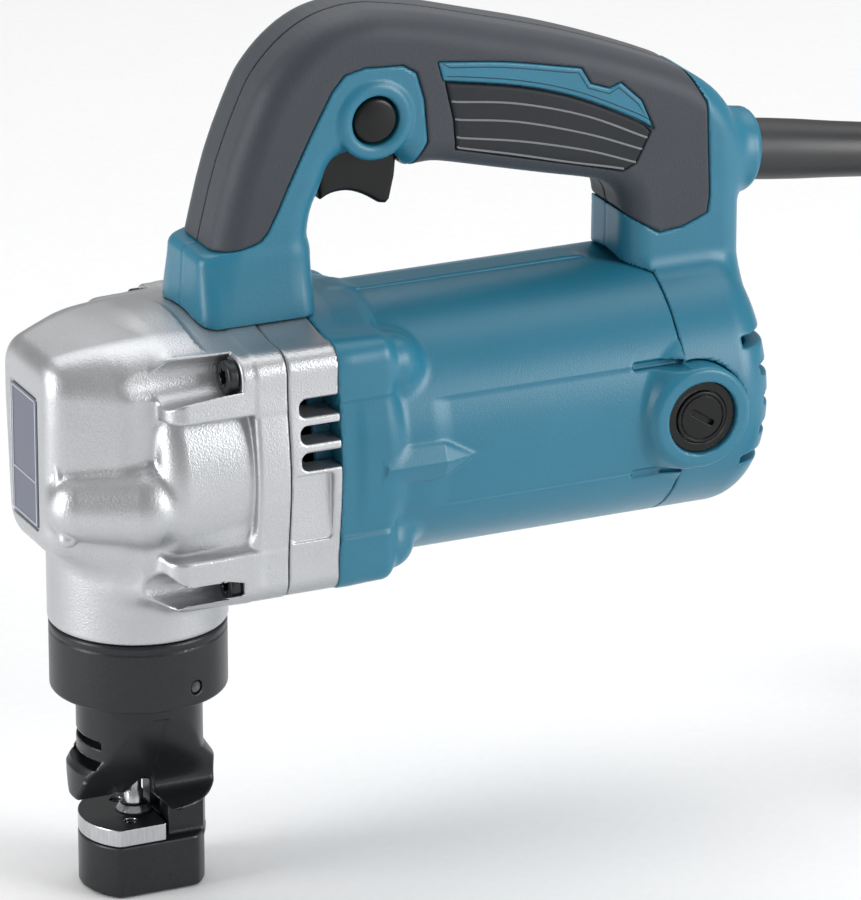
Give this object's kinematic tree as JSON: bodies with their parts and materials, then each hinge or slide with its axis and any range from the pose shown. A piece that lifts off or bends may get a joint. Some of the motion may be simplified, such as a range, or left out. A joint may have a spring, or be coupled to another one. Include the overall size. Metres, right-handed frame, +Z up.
{
  "type": "sheet metal nibbler",
  "caption": "D-handled electric nibbler: crank-driven punch under a rounded head, cylindrical motor barrel, moulded grip, trigger and rear mains lead.",
  "frame": {"origin": "centre of the flat underside of the die holder, on the punch axis", "axes": "+X from the punch axis towards the back of the motor, +Y the tool's right side, +Z up along the punch axis towards the head"},
  "size_m": [0.4254, 0.1335, 0.2584],
  "materials": {
    "casting": "silver painted casting, fine metallic grain",
    "teal": "moulded nylon, satin",
    "grip": "soft overmoulding, matt",
    "pad": "ribbed soft pad, matt",
    "blackened": "black oxide steel, oiled",
    "bright": "ground steel",
    "gear": "hardened steel, oiled",
    "copper": "copper segments",
    "bronze": "sintered bronze",
    "laminate": "varnished steel laminations with copper windings",
    "plastic": "black nylon",
    "carbon": "carbon graphite",
    "plate": "plain name plate with blank panels",
    "rubber": "black rubber, slight sheen"
  },
  "bodies": {
    "casing": {"crank_housing": "casting", "head_plate": "plate", "bearing_box": "casting", "motor_housing": "teal", "case_screw_1": "blackened", "case_screw_2": "blackened", "case_screw_3": "blackened", "case_screw_4": "blackened", "handle_left": "teal", "handle_right": "teal", "grip_left": "grip", "grip_right": "grip", "grip_accent_left": "teal", "grip_accent_right": "teal", "grip_pad_left": "pad", "grip_pad_right": "pad", "brush_holder_left": "plastic", "brush_holder_right": "plastic", "carbon_brush_left": "carbon", "carbon_brush_right": "carbon", "brush_cap_left": "plastic", "brush_cap_right": "plastic", "switch_body": "plastic", "stator": "laminate", "motor_bearing_front": "bright", "motor_bearing_rear": "bright", "counter_bearing_front": "bright", "counter_bearing_rear": "bright", "crank_bearing_front": "bright", "crank_bearing_rear": "bright", "guide_sleeve": "bronze", "cord_guard": "rubber", "cord": "rubber", "cord_coil": "rubber", "cord_tail": "rubber", "coil_tie": "plastic", "plug": "rubber"},
    "armature": {"armature_shaft": "gear", "armature_core": "laminate", "commutator": "copper", "fan": "plastic"},
    "counter": {"countershaft": "gear", "reduction_gear": "gear"},
    "crank": {"crank_shaft": "gear", "crank_gear": "gear"},
    "rod": {"con_rod": "gear", "wrist_pin": "bright"},
    "ram": {"ram": "bright"},
    "nut": {"lock_nut": "blackened", "nut_pin": "blackened"},
    "holder": {"die_holder": "blackened", "die": "bright", "die_screw_1": "blackened", "die_screw_2": "blackened"},
    "trigger": {"trigger": "plastic"},
    "lock_button": {"lock_button": "plastic"},
    "punch": {"punch": "bright"}
  },
  "joints": [
    {"name": "armature_spin", "type": "hinge", "parent": "casing", "child": "armature", "pos_m": [0.1, 0, 0.1328], "axis": [1, 0, 0], "continuous": true},
    {"name": "counter_spin", "type": "hinge", "parent": "casing", "child": "counter", "pos_m": [0.02, -0.013, 0.11555], "axis": [1, 0, 0], "continuous": true},
    {"name": "crank_spin", "type": "hinge", "parent": "casing", "child": "crank", "pos_m": [0, 0, 0.14192], "axis": [1, 0, 0], "continuous": true},
    {"name": "rod_pivot", "type": "hinge", "parent": "crank", "child": "rod", "pos_m": [0, 0, 0.14642], "axis": [1, 0, 0], "continuous": true},
    {"name": "ram_slide", "type": "slide", "parent": "casing", "child": "ram", "axis": [0, 0, -1], "range_m": [0, 0.009]},
    {"name": "punch_slide", "type": "slide", "parent": "holder", "child": "punch", "axis": [0, 0, -1], "range_m": [0, 0.009]},
    {"name": "nut_turn", "type": "hinge", "parent": "casing", "child": "nut", "pos_m": [0, 0, 0.07], "axis": [0, 0, 1], "continuous": true},
    {"name": "holder_turn", "type": "hinge", "parent": "casing", "child": "holder", "pos_m": [0, 0, 0.03], "axis": [0, 0, 1], "range_deg": [-180, 180]},
    {"name": "trigger_pull", "type": "slide", "parent": "casing", "child": "trigger", "axis": [0, 0, 1], "range_m": [0, 0.005], "stiffness_N_per_m": 900, "springref_m": -0.004},
    {"name": "lock_press", "type": "slide", "parent": "casing", "child": "lock_button", "axis": [0, 1, 0], "range_m": [0, 0.003], "stiffness_N_per_m": 700, "springref_m": -0.002}
  ],
  "couplings": [
    {"joint": "counter_spin", "follows": "armature_spin", "ratio": -0.23077},
    {"joint": "crank_spin", "follows": "armature_spin", "ratio": 0.066802},
    {"joint": "rod_pivot", "follows": "armature_spin", "ratio": -0.066802},
    {"joint": "punch_slide", "follows": "ram_slide", "ratio": 1}
  ]
}
